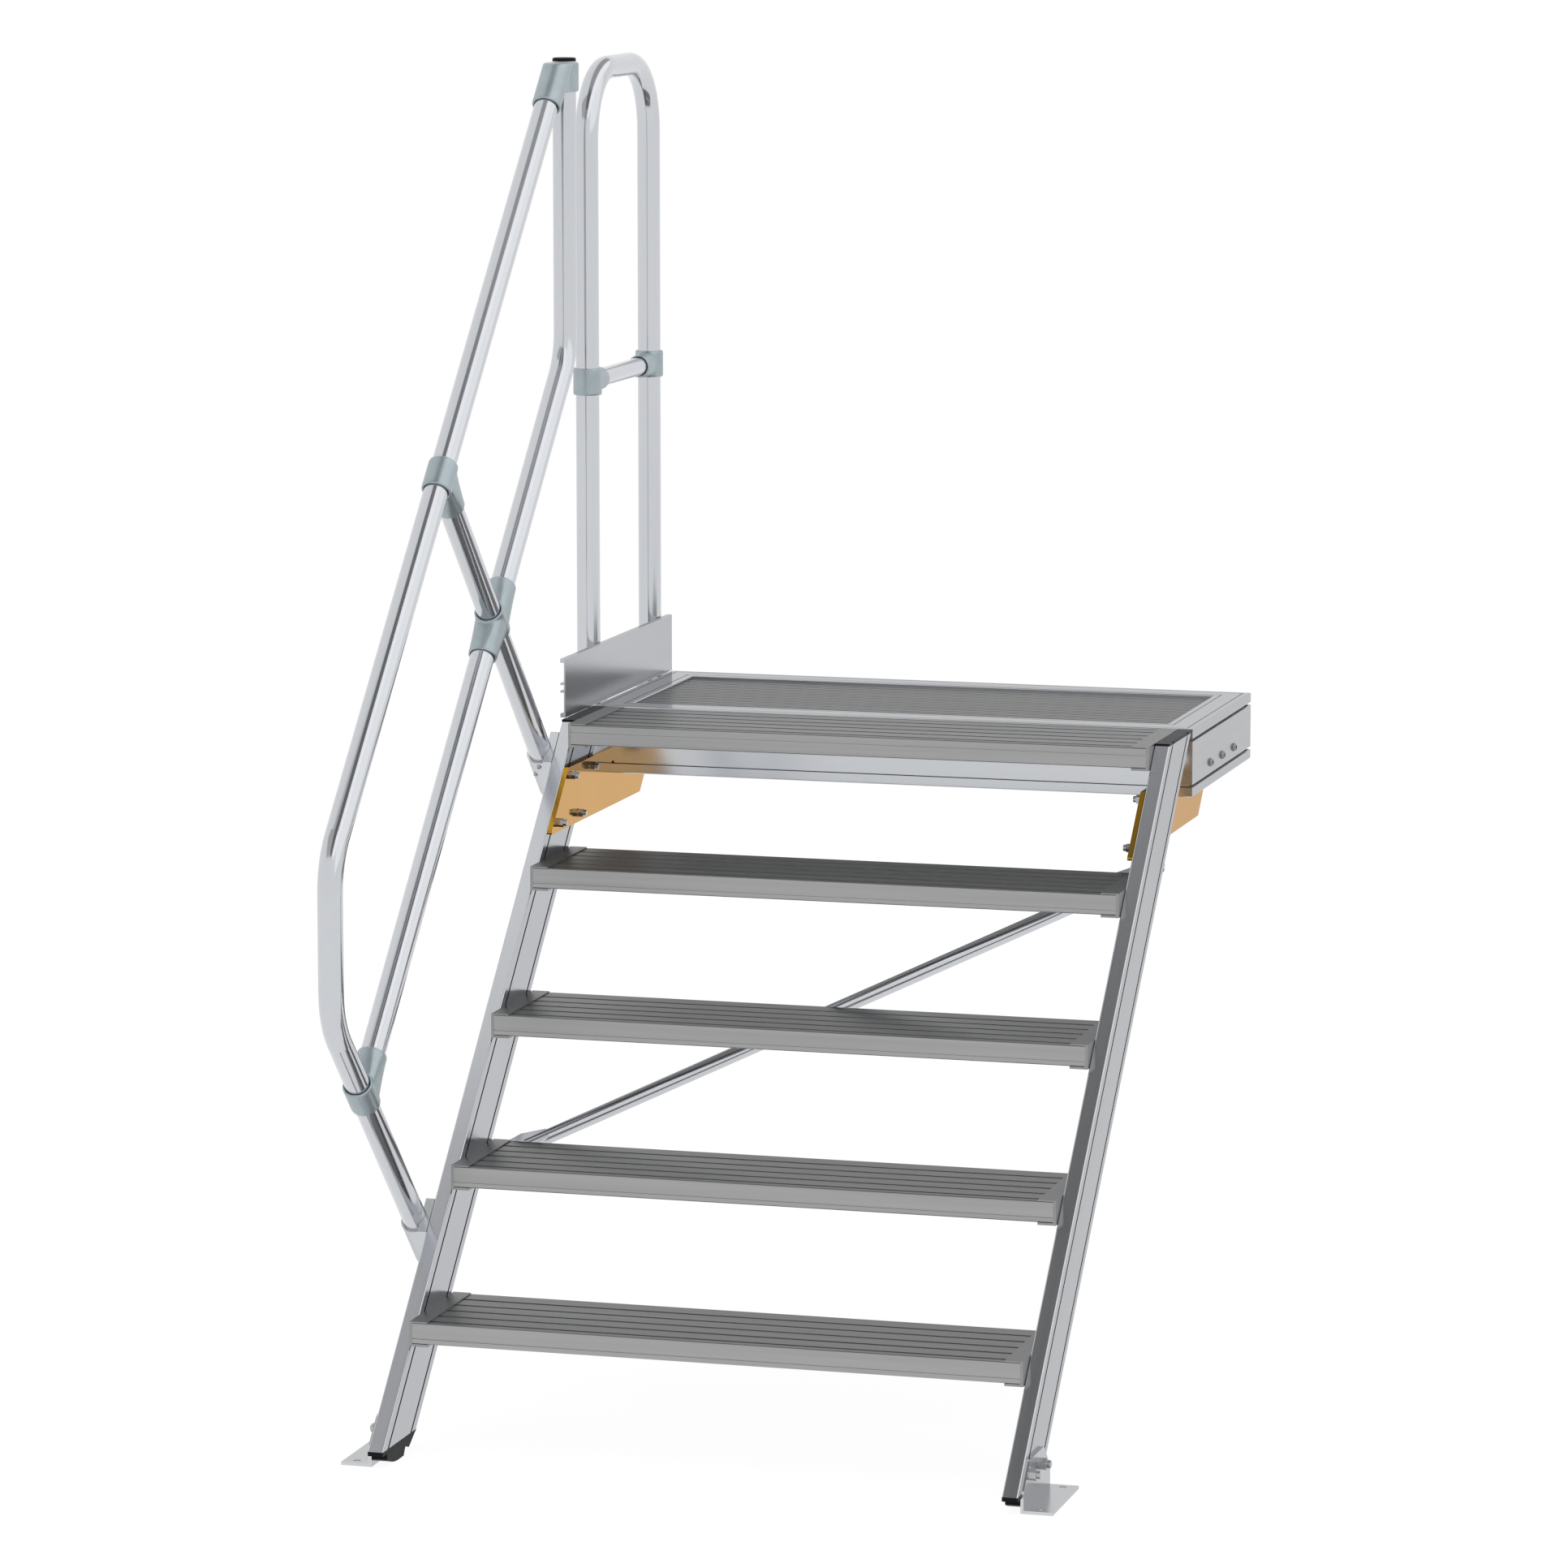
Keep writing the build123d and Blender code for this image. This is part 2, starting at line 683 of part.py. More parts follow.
# socket brackets: two outside the left stringer and two on the platform's left beam
socket_radius = tube_radius + bracket_wall
socket_length = bracket_under + bracket_seat
socket_brackets = (
    ("lower_rail_bracket", on_slope(leg_run, leg_end_lift), off_slope, up_slope),
    ("upper_rail_bracket", on_slope(strut_run, leg_end_lift), off_slope, up_slope),
    ("hoop_front_bracket", (hoop_near, hoop_foot), along_z, along_y),
    ("hoop_rear_bracket", (hoop_far, hoop_foot), along_z, along_y),
)
for name, tube_end, way, across in socket_brackets:
    seat = place(-half_outer, *tube_end)
    section = Plane(origin=seat - way * bracket_under, x_dir=across, z_dir=way)
    with BuildPart() as bracket:
        with BuildSketch(section):
            with Locations((0, bracket_block / 2)):
                Rectangle(2 * bracket_half, bracket_block)
            with Locations((0, rail_out)):
                Circle(socket_radius)
            fillet(vertices().group_by(Axis.Y)[1].sort_by(Axis.X)[1:3], radius=bracket_fillet)
        extrude(amount=socket_length)
        with BuildSketch(section):
            with Locations((0, bracket_block / 2)):
                Rectangle(2 * bracket_half, bracket_block)
        extrude(amount=socket_length + bracket_mouth)
        with BuildSketch(Plane(origin=seat, x_dir=across, z_dir=way)):
            with Locations((0, rail_out)):
                Circle(tube_radius + tube_clear)
        extrude(amount=bracket_seat + bracket_mouth, mode=Mode.SUBTRACT)
    bracket.part.label = name
    export_step(bracket.part, f"parts/{name}.step")

# diagonal brace behind the treads: a tube with its ends pressed to flat lugs, on spacers off the stringers
tread_rear = tread_depth * sin(slope) + cap_over * cos(slope)
brace_face = max(stringer_back, tread_rear) + brace_clear
brace_lift = -(brace_face + brace_radius)
brace_x = half_clear + stringer_thick / 2
bolt_first = place(-brace_x, *on_slope(brace_low_run, brace_lift))
bolt_last = place(brace_x, *on_slope(brace_high_run, brace_lift))
brace_way = (bolt_last - bolt_first).normalized()
brace_length = (bolt_last - bolt_first).length
taper_end = lug_length + lug_taper
lug_top = brace_radius - brace_clear
lug_base = lug_top - lug_thick
with BuildPart() as diagonal_brace:
    with BuildSketch(Plane(origin=bolt_first + brace_way * lug_length, z_dir=brace_way)):
        Circle(brace_radius)
    extrude(amount=brace_length - 2 * lug_length)
    for bolt, way in ((bolt_first, brace_way), (bolt_last, -brace_way)):
        with BuildSketch(Plane(origin=bolt, x_dir=way, z_dir=way.cross(off_slope))):
            with BuildLine():
                Polyline(
                    (0, lug_base),
                    (lug_length, lug_base),
                    (taper_end, -2 * brace_radius),
                    (0, -2 * brace_radius),
                    close=True,
                )
            make_face()
        extrude(amount=2 * brace_radius, both=True, mode=Mode.SUBTRACT)
        with BuildSketch(Plane(origin=bolt + off_slope * lug_base, x_dir=way, z_dir=off_slope)):
            with BuildLine():
                Polyline(
                    (-lug_end, -lug_nose / 2),
                    (lug_length, -lug_width / 2),
                    (taper_end, -lug_tip / 2),
                    (taper_end, lug_tip / 2),
                    (lug_length, lug_width / 2),
                    (-lug_end, lug_nose / 2),
                    close=True,
                )
            make_face()
            fillet(vertices().group_by(Axis.X)[0], radius=lug_end)
        extrude(amount=lug_thick)
        with BuildSketch(Plane(origin=bolt + off_slope * (lug_top - lug_thick / 2), z_dir=off_slope)):
            Circle(brace_spacer_radius)
        extrude(amount=brace_clear + lug_thick / 2 + brace_face - stringer_back)
diagonal_brace.part.label = "diagonal_brace"
export_step(diagonal_brace.part, "parts/diagonal_brace.step")
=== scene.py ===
import math

import bmesh
import bpy
from mathutils import Matrix, Vector


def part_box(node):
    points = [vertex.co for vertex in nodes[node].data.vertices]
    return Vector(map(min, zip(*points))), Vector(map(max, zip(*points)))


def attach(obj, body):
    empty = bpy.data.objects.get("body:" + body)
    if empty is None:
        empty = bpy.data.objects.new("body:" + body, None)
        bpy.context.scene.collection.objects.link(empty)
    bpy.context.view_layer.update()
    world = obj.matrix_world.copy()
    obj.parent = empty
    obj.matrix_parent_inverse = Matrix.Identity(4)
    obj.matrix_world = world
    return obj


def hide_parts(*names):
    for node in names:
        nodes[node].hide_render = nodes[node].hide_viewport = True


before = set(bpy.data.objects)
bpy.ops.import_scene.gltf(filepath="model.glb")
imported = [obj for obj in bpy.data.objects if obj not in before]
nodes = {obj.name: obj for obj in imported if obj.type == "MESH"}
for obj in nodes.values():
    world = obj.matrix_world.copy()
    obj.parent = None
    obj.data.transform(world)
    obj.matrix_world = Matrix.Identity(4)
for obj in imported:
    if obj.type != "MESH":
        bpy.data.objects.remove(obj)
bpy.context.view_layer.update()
print("frame loaded,", len(nodes), "nodes")

scene = bpy.context.scene
scene.view_settings.view_transform = "Standard"

# the stair's middle and its first nose in the frame, and places measured from them in millimetres
stairMid = (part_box("left_stringer")[0][0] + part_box("right_stringer")[1][0]) / 2
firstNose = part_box("tread_1")[0][1]


def place(x, y, z):
    return Vector((stairMid + x / 1000, firstNose + y / 1000, z / 1000))


# one socket of a node tree, with arithmetic
class Wire:
    def __init__(self, tree, socket=None):
        self.tree = tree
        self.socket = socket

    def feed(self, socket, value):
        if isinstance(value, list):
            for one in value:
                self.feed(socket, one)
        elif isinstance(value, Wire):
            self.tree.links.new(value.socket, socket)
        elif socket.type == "RGBA" and len(value) == 3:
            socket.default_value = (*value, 1)
        else:
            socket.default_value = value

    # any node: settings go in first, then the values or links of its sockets
    def node(self, kind, settings=None, links=None, out=0):
        made = self.tree.nodes.new(kind)
        for key, value in (settings or {}).items():
            setattr(made, key, value)
        for key, value in (links or {}).items():
            self.feed(made.inputs[key], value)
        return Wire(self.tree, made.outputs[out] if len(made.outputs) else None)

    def maths(self, operation, first, second=0.0):
        return self.node("ShaderNodeMath", {"operation": operation}, {0: first, 1: second})

    def __add__(self, other):
        return self.maths("ADD", self, other)

    def __radd__(self, other):
        return self.maths("ADD", other, self)

    def __sub__(self, other):
        return self.maths("SUBTRACT", self, other)

    def __rsub__(self, other):
        return self.maths("SUBTRACT", other, self)

    def __mul__(self, other):
        return self.maths("MULTIPLY", self, other)

    def __rmul__(self, other):
        return self.maths("MULTIPLY", other, self)

    def __gt__(self, other):
        return self.maths("GREATER_THAN", self, other)


def newMaterial(name):
    material = bpy.data.materials.new(name)
    material.use_nodes = True
    material.node_tree.nodes.clear()
    return material, Wire(material.node_tree)


def closeMaterial(ink, sockets):
    surface = ink.node("ShaderNodeBsdfPrincipled", None, sockets, "BSDF")
    ink.node("ShaderNodeOutputMaterial", None, {"Surface": surface})


def objectPoint(ink):
    return ink.node("ShaderNodeTexCoord", None, None, "Object")


# how far the surface faces along one axis, from -1 to 1
def facing(ink, axis):
    normal = ink.node("ShaderNodeTexCoord", None, None, "Normal")
    return ink.node("ShaderNodeSeparateXYZ", None, {0: normal}, axis)


noiseMiddle = 0.5  # of the noise's range from 0 to 1


def noise(ink, point, scale, detail=2.0):
    return ink.node("ShaderNodeTexNoise", None, {"Vector": point, "Scale": scale, "Detail": detail}, 0)


# the object's point measured along one direction and across it
def grainPoint(ink, along, stretch):
    point = objectPoint(ink)
    run = Vector(along).normalized()
    side = run.orthogonal().normalized()
    parts = []
    for way, scale in ((run, stretch), (side, 1.0), (run.cross(side), 1.0)):
        spot = ink.node("ShaderNodeVectorMath", {"operation": "DOT_PRODUCT"}, {0: point, 1: tuple(way)}, "Value")
        parts.append(spot * scale)
    return ink.node("ShaderNodeCombineXYZ", None, {"X": parts[0], "Y": parts[1], "Z": parts[2]})


def blendShade(ink, share, low, high):
    return ink.node("ShaderNodeMix", {"data_type": "RGBA"}, {0: share, 6: low, 7: high}, 2)


def bumped(ink, look, height):
    return ink.node("ShaderNodeBump", None, {"Strength": look["bump"], "Distance": look["bumpDepth"], "Height": height})


# drawn or extruded metal, with die lines along one direction and soft clouds; where the look gives a top colour, faces
# that look up get painted shade
def drawnMetal(name, look, along):
    material, ink = newMaterial(name)
    grain = grainPoint(ink, along, look["stretch"])
    fine = noise(ink, grain, look["fine"])
    broad = noise(ink, grain, look["broad"])
    cloud = noise(ink, objectPoint(ink), look["cloud"])
    streak = (broad - noiseMiddle) * look["contrast"] + noiseMiddle
    tone = fine * look["fines"] + streak * look["streaks"] + cloud * (1 - look["fines"] - look["streaks"])
    shade = blendShade(ink, tone, look["dark"], look["light"])
    if "top" in look:  # faces that look up get a darker colour: painted shade
        paintedTopShade = blendShade(ink, tone, look["top"], look["topLight"])
        shade = blendShade(ink, facing(ink, "Z") > look["topFrom"], shade, paintedTopShade)
    uneven = (cloud - noiseMiddle) * look["roughSpread"] + (broad - noiseMiddle) * look["roughSpread"]
    closeMaterial(ink, {
        "Base Color": shade, "Metallic": 1.0, "Roughness": look["rough"] + uneven,
        "Normal": bumped(ink, look, fine), "Specular Tint": look["rim"]})
    return material


frameLook = {
    "dark": (0.50, 0.515, 0.54), "light": (0.61, 0.625, 0.65), "rough": 0.17, "roughSpread": 0.05,
    "stretch": 0.01, "fine": 400.0, "broad": 90.0, "cloud": 3.0, "fines": 0.2, "streaks": 0.35, "contrast": 1.2,
    "bump": 0.03, "bumpDepth": 0.0002, "rim": (0.70, 0.70, 0.70),
}
tubeLook = dict(
    frameLook, dark=(0.53, 0.545, 0.575), light=(0.62, 0.635, 0.66), rough=0.14, roughSpread=0.02,
    bump=0.006, rim=(1, 1, 1))
# treads: the fronts keep the lighter colour and the tops take a darker one, which is painted shade
treadLook = dict(
    frameLook, dark=(0.31, 0.31, 0.31), light=(0.42, 0.42, 0.42), topFrom=0.5,
    top=(0.13, 0.131, 0.133), topLight=(0.27, 0.271, 0.273),
    rough=0.36, fine=700.0, streaks=0.5, contrast=2.0, rim=(0.8, 0.8, 0.8))
# tread caps: darker tops here too, painted shade
capLook = dict(
    treadLook, dark=(0.27, 0.27, 0.27), light=(0.33, 0.33, 0.33), top=(0.2, 0.2, 0.2), topLight=(0.24, 0.24, 0.24))
toeLook = dict(frameLook, rough=0.20, roughSpread=0.03)
bracketLook = dict(
    frameLook, dark=(0.54, 0.555, 0.575), light=(0.63, 0.645, 0.665), rough=0.20, rim=(0.76, 0.76, 0.76))

# the ways that tubes and extrusions run
slopeWay = (0, 0.70711, 0.70711)
offWay = (0, -0.70711, 0.70711)
acrossWay = (1, 0, 0)
inWay = (0, 1, 0)
upWay = (0, 0, 1)

castLook = {
    "dark": (0.315, 0.37, 0.395), "light": (0.425, 0.49, 0.515), "metal": 0.85, "rough": 0.36, "roughSpread": 0.12,
    "speck": 40.0, "detail": 3.0, "sand": 420.0, "bump": 0.03, "bumpDepth": 0.0003,
}


# sand cast fitting, a little green and grainy
def castMetal(name, look):
    material, ink = newMaterial(name)
    speck = noise(ink, objectPoint(ink), look["speck"], look["detail"])
    sand = noise(ink, objectPoint(ink), look["sand"])
    closeMaterial(ink, {
        "Base Color": blendShade(ink, speck, look["dark"], look["light"]), "Metallic": look["metal"],
        "Roughness": look["rough"] + (speck - noiseMiddle) * look["roughSpread"], "Normal": bumped(ink, look, sand)})
    return material


plateLook = {
    "face": (0.66, 0.42, 0.18), "faceLight": (0.78, 0.51, 0.24), "faceFrom": 0.7,
    # edge colours: painted shade on the plate's narrow faces
    "edge": (0.42, 0.22, 0.02), "edgeLight": (0.52, 0.28, 0.035), "rim": (0.72, 0.61, 0.52),
    "rough": 0.10, "roughSpread": 0.06, "cloud": 6.0, "peel": 350.0, "bump": 0.03, "bumpDepth": 0.0003,
}


# yellow coated plate, with painted shade on its narrow edges: faces that don't face sideways take a deeper, darker
# colour
def coatedPlate(name, look):
    material, ink = newMaterial(name)
    cloud = noise(ink, objectPoint(ink), look["cloud"])
    peel = noise(ink, objectPoint(ink), look["peel"])
    # faces that face sideways keep the plate's colour, the rest take the painted shade
    flat = ink.maths("ABSOLUTE", facing(ink, "X")) > look["faceFrom"]
    edge = blendShade(ink, cloud, look["edge"], look["edgeLight"])
    face = blendShade(ink, cloud, look["face"], look["faceLight"])
    closeMaterial(ink, {
        "Base Color": blendShade(ink, flat, edge, face), "Metallic": 1.0,
        "Roughness": look["rough"] + (cloud - noiseMiddle) * look["roughSpread"], "Normal": bumped(ink, look, peel),
        "Specular Tint": look["rim"]})
    return material


plasticLook = {
    "deep": (0.007, 0.007, 0.008), "pale": (0.016, 0.016, 0.018), "rough": 0.42, "roughSpread": 0.15, "gloss": 0.06,
    "speck": 60.0, "detail": 3.0, "grain": 900.0, "bump": 0.08, "bumpDepth": 0.0003,
}


# moulded black plastic of feet and plugs, with a fine grain
def mouldedPlastic(name, look):
    material, ink = newMaterial(name)
    speck = noise(ink, objectPoint(ink), look["speck"], look["detail"])
    grain = noise(ink, objectPoint(ink), look["grain"])
    closeMaterial(ink, {
        "Base Color": blendShade(ink, speck, look["deep"], look["pale"]),
        "Roughness": look["rough"] + (speck - noiseMiddle) * look["roughSpread"],
        "Normal": bumped(ink, look, grain), "Specular IOR Level": look["gloss"]})
    return material


steelLook = {
    "dark": (0.34, 0.345, 0.35), "light": (0.50, 0.505, 0.51), "rough": 0.20, "roughSpread": 0.12,
    "patch": 180.0, "detail": 3.0,
}
# a darker copy of the plated steel for the beam screws: painted shade
shadedSteelLook = dict(steelLook, dark=(0.17, 0.175, 0.18), light=(0.29, 0.295, 0.30))


# zinc plated steel of nuts and screws
def platedSteel(name, look):
    material, ink = newMaterial(name)
    patch = noise(ink, objectPoint(ink), look["patch"], look["detail"])
    closeMaterial(ink, {
        "Base Color": blendShade(ink, patch, look["dark"], look["light"]), "Metallic": 1.0,
        "Roughness": look["rough"] + patch * look["roughSpread"]})
    return material


frameSlope = drawnMetal("frameAluminiumSlope", frameLook, slopeWay)
frameAcross = drawnMetal("frameAluminiumAcross", frameLook, acrossWay)
frameIn = drawnMetal("frameAluminiumIn", frameLook, inWay)
toeMetal = drawnMetal("toeBoardAluminium", toeLook, inWay)
treadMetal = drawnMetal("treadAluminium", treadLook, acrossWay)
capMetal = drawnMetal("capAluminium", capLook, inWay)
tubeUp = drawnMetal("tubeAluminiumUp", tubeLook, upWay)
tubeSlope = drawnMetal("tubeAluminiumSlope", tubeLook, slopeWay)
tubeOff = drawnMetal("tubeAluminiumOff", tubeLook, offWay)
tubeIn = drawnMetal("tubeAluminiumIn", tubeLook, inWay)
bracketMetal = drawnMetal("bracketAluminium", bracketLook, inWay)
clampMetal = castMetal("clampCasting", castLook)
platePaint = coatedPlate("plateCoating", plateLook)
blackPlastic = mouldedPlastic("blackPlastic", plasticLook)
steel = platedSteel("platedSteel", steelLook)
shadedSteel = platedSteel("shadedSteel", shadedSteelLook)

finishes = {
    "left_stringer": frameSlope, "right_stringer": frameSlope,
    "platform_front_beam": frameAcross, "platform_rear_beam": frameAcross,
    "platform_left_beam": frameIn, "platform_right_beam": frameIn, "toe_board": toeMetal,
    "platform_deck": treadMetal, "left_tread_caps": capMetal, "right_tread_caps": capMetal,
    "left_joining_plate": platePaint, "right_joining_plate": platePaint,
    "left_foot": blackPlastic, "right_foot": blackPlastic, "left_top_cap": blackPlastic,
    "right_top_cap": blackPlastic, "upright_cap": blackPlastic,
    "left_foot_bracket": bracketMetal, "right_foot_bracket": bracketMetal,
    "lower_rail_bracket": bracketMetal, "upper_rail_bracket": bracketMetal,
    "hoop_front_bracket": bracketMetal, "hoop_rear_bracket": bracketMetal,
    "handrail": tubeSlope, "knee_rail": tubeSlope, "lower_knee_rail": tubeSlope,
    "upper_strut": tubeOff, "lower_strut": tubeOff, "hoop_knee_bar": tubeIn, "hoop": tubeUp, "diagonal_brace": tubeUp,
}
for name, piece in nodes.items():
    if name in finishes:
        finish = finishes[name]
    elif name.startswith("tread_"):
        finish = treadMetal
    else:
        finish = clampMetal
    piece.data.materials.clear()
    piece.data.materials.append(finish)
print("finishes on the frame")


# what the modifiers give becomes the piece's plain mesh, on the one body
def settle(piece, name):
    whole = bpy.data.meshes.new_from_object(piece.evaluated_get(bpy.context.evaluated_depsgraph_get()))
    piece.modifiers.clear()
    piece.data = whole
    whole.name = name
    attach(piece, "root")
    print(name, len(whole.polygons), "faces")
    return whole


castings = {
    "names": {
        "handrail_clamp": "handrailCasting", "knee_rail_clamp": "kneeRailCasting", "lower_clamp": "lowerCasting",
        "top_elbow": "elbowCasting", "hoop_front_clamp": "hoopFrontCasting", "hoop_rear_clamp": "hoopRearCasting"},
    "weld": 1e-6, "skin": 0.0014, "passes": 14, "pull": 0.5,
}


# a cast fitting with the soft edges and inner corners of its mould
def softCasting(node, name):
    mesh = nodes[node].data.copy()
    merged = bmesh.new()
    merged.from_mesh(mesh)
    bmesh.ops.remove_doubles(merged, verts=merged.verts, dist=castings["weld"])
    merged.to_mesh(mesh)
    merged.free()
    piece = bpy.data.objects.new(name, mesh)
    scene.collection.objects.link(piece)
    skin = piece.modifiers.new("skin", "REMESH")
    skin.mode = "VOXEL"
    skin.voxel_size = castings["skin"]
    skin.use_smooth_shade = True
    soften = piece.modifiers.new("soften", "SMOOTH")
    soften.factor = castings["pull"]
    soften.iterations = castings["passes"]
    whole = settle(piece, name)
    whole.materials.clear()
    whole.materials.append(clampMetal)
    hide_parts(node)


for node, name in castings["names"].items():
    softCasting(node, name)


# a geometry tree with named inputs that stands one fastener on every seat point
def startTree(name, inputs):
    tree = bpy.data.node_groups.new(name, "GeometryNodeTree")
    tree.interface.new_socket(name="Seats", in_out="INPUT", socket_type="NodeSocketGeometry")
    for label in inputs:
        tree.interface.new_socket(name=label, in_out="INPUT", socket_type="NodeSocketFloat")
    tree.interface.new_socket(name="Seed", in_out="INPUT", socket_type="NodeSocketInt")
    tree.interface.new_socket(name="Finish", in_out="INPUT", socket_type="NodeSocketMaterial")
    tree.interface.new_socket(name="Fasteners", in_out="OUTPUT", socket_type="NodeSocketGeometry")
    return tree, Wire(tree)


def given(ink, label):
    return ink.node("NodeGroupInput", None, None, label)


def lifted(ink, shape, height):
    shift = ink.node("ShaderNodeCombineXYZ", None, {"Z": height})
    return ink.node("GeometryNodeTransform", None, {"Geometry": shape, "Translation": shift})


def prism(ink, corners, radius, depth):
    return ink.node("GeometryNodeMeshCylinder", None, {"Vertices": corners, "Radius": radius, "Depth": depth}, "Mesh")


def meshBoolean(ink, operation, links):
    return ink.node("GeometryNodeMeshBoolean", {"operation": operation, "solver": "EXACT"}, links, "Mesh")


turning = {"spread": 1.732, "above": 0.1, "below": 0.5, "sides": 32}  # a cone that turns corners off at 30 degrees


# a prism standing on the seat, with its upper corners turned off
def turnedPrism(ink, corners, radius, height, rim):
    body = lifted(ink, prism(ink, corners, radius, height), height * 0.5)
    cone = ink.node("GeometryNodeMeshCone", None, {
        "Vertices": turning["sides"], "Radius Top": rim - height * (turning["spread"] * turning["above"]),
        "Radius Bottom": rim + height * (turning["spread"] * (1 + turning["below"])),
        "Depth": height * (1 + turning["above"] + turning["below"])}, "Mesh")
    return meshBoolean(ink, "INTERSECT", {1: [body, lifted(ink, cone, height * -turning["below"])]})


# every fastener stands along its seat's facing, turned at random about it
def closeTree(ink, shape):
    twist = ink.node(
        "FunctionNodeRandomValue", {"data_type": "FLOAT"}, {2: 0.0, 3: math.tau, "Seed": given(ink, "Seed")}, 1)
    spin = ink.node("FunctionNodeAxisAngleToRotation", None, {"Axis": (0, 0, 1), "Angle": twist})
    way = ink.node(
        "GeometryNodeInputNamedAttribute", {"data_type": "FLOAT_VECTOR"}, {"Name": "facing"}, "Attribute")
    stand = ink.node("FunctionNodeAlignRotationToVector", {"axis": "Z"}, {"Vector": way})
    turn = ink.node("FunctionNodeRotateRotation", {"rotation_space": "LOCAL"}, {0: stand, 1: spin})
    many = ink.node(
        "GeometryNodeInstanceOnPoints", None, {"Points": given(ink, "Seats"), "Instance": shape, "Rotation": turn})
    real = ink.node("GeometryNodeRealizeInstances", None, {0: many})
    coated = ink.node("GeometryNodeSetMaterial", None, {"Geometry": real, "Material": given(ink, "Finish")})
    ink.node("NodeGroupOutput", None, {0: coated})


cornerShare = 0.57735  # a hexagon's corner radius over its width across flats
nutShape = {"washerSides": 32, "washerRim": 0.97, "nutRim": 0.49, "boltSides": 20, "boltRim": 0.78}


# washer, hexagon nut and the rounded end of its bolt
def nutTree(name):
    labels = ("Across Flats", "Nut Height", "Washer Radius", "Washer Height", "Bolt Radius", "Bolt Height")
    tree, ink = startTree(name, labels)
    flats, nutHeight, washerRadius, washerHeight, boltRadius, boltHeight = (given(ink, label) for label in labels)
    washer = turnedPrism(
        ink, nutShape["washerSides"], washerRadius, washerHeight, washerRadius * nutShape["washerRim"])
    nut = turnedPrism(ink, 6, flats * cornerShare, nutHeight, flats * nutShape["nutRim"])
    bolt = turnedPrism(ink, nutShape["boltSides"], boltRadius, boltHeight, boltRadius * nutShape["boltRim"])
    stack = [washer, lifted(ink, nut, washerHeight), lifted(ink, bolt, washerHeight + nutHeight)]
    closeTree(ink, ink.node("GeometryNodeJoinGeometry", None, {0: stack}))
    return tree


headShape = {"segments": 28, "rings": 16, "dome": 1.25, "block": 2, "recess": 1.5}


# domed head with a hexagon recess
def screwTree(name):
    labels = ("Head Radius", "Head Height", "Key Size")
    tree, ink = startTree(name, labels)
    radius, height, key = (given(ink, label) for label in labels)
    ball = ink.node("GeometryNodeMeshUVSphere", None, {
        "Segments": headShape["segments"], "Rings": headShape["rings"], "Radius": 1.0}, "Mesh")
    size = ink.node("ShaderNodeCombineXYZ", None, {"X": radius, "Y": radius, "Z": height * headShape["dome"]})
    dome = ink.node("GeometryNodeTransform", None, {"Geometry": ball, "Scale": size})
    block = lifted(ink, prism(ink, 4, radius * headShape["block"], height), height * 0.5)
    head = meshBoolean(ink, "INTERSECT", {1: [dome, block]})
    recess = lifted(ink, prism(ink, 6, key * cornerShare, height * headShape["recess"]), height)
    closeTree(ink, meshBoolean(ink, "DIFFERENCE", {0: head, 1: [recess]}))
    return tree


# seats: a list of places and the ways that the fasteners face
def standOn(name, tree, seats, look, finish=steel):
    mesh = bpy.data.meshes.new(name)
    mesh.from_pydata([at for at, way in seats], [], [])
    ways = mesh.attributes.new("facing", "FLOAT_VECTOR", "POINT")
    for spot, (at, way) in zip(ways.data, seats):
        spot.vector = Vector(way).normalized()
    piece = bpy.data.objects.new(name, mesh)
    scene.collection.objects.link(piece)
    modifier = piece.modifiers.new("fasteners", "NODES")
    modifier.node_group = tree
    values = dict(look["sizes"], Seed=look["seed"], Finish=finish)
    for socket in tree.interface.items_tree:
        if socket.in_out == "INPUT" and socket.name in values:
            modifier[socket.identifier] = values[socket.name]
    settle(piece, name)


nuts = nutTree("nutOnBolt")
screws = screwTree("socketHead")

plateNuts = {
    "spots": ((829, 964.5), (939.5, 964.5), (759, 894.5), (869.5, 894.5)), "inside": 492, "seed": 3,
    "sizes": {"Across Flats": 0.013, "Nut Height": 0.0086, "Washer Radius": 0.0072, "Washer Height": 0.0012,
              "Bolt Radius": 0.0054, "Bolt Height": 0.0050},
}
seats = []
for side in (-1, 1):
    seats += [(place(side * plateNuts["inside"], y, z), (-side, 0, 0)) for y, z in plateNuts["spots"]]
standOn("plateNuts", nuts, seats, plateNuts)

footNuts = {
    "spots": ((-15, 55), (-83, 55)), "outside": 530, "seed": 5,
    "sizes": {"Across Flats": 0.017, "Nut Height": 0.0110, "Washer Radius": 0.0094, "Washer Height": 0.0020,
              "Bolt Radius": 0.0064, "Bolt Height": 0.0062},
}
seats = [(place(footNuts["outside"], y, z), (1, 0, 0)) for y, z in footNuts["spots"]]
standOn("footNuts", nuts, seats, footNuts)

# the left foot's bolts show their heads outside
footHeads = {"seed": 13, "sizes": {"Head Radius": 0.0085, "Head Height": 0.0066, "Key Size": 0.0065}}
seats = [(place(-footNuts["outside"], y, z), (-1, 0, 0)) for y, z in footNuts["spots"]]
standOn("footHeads", screws, seats, footHeads)

braceBolts = {
    "spots": ((-512.5, 409.3, 379.2), (512.5, 875.2, 845.1)), "rise": 6.5, "seed": 7,
    "sizes": {"Head Radius": 0.0066, "Head Height": 0.0036, "Key Size": 0.0045},
}
downWay = -Vector(offWay)
seats = [(place(*spot) + downWay * braceBolts["rise"] / 1000, downWay) for spot in braceBolts["spots"]]
standOn("braceBolts", screws, seats, braceBolts)

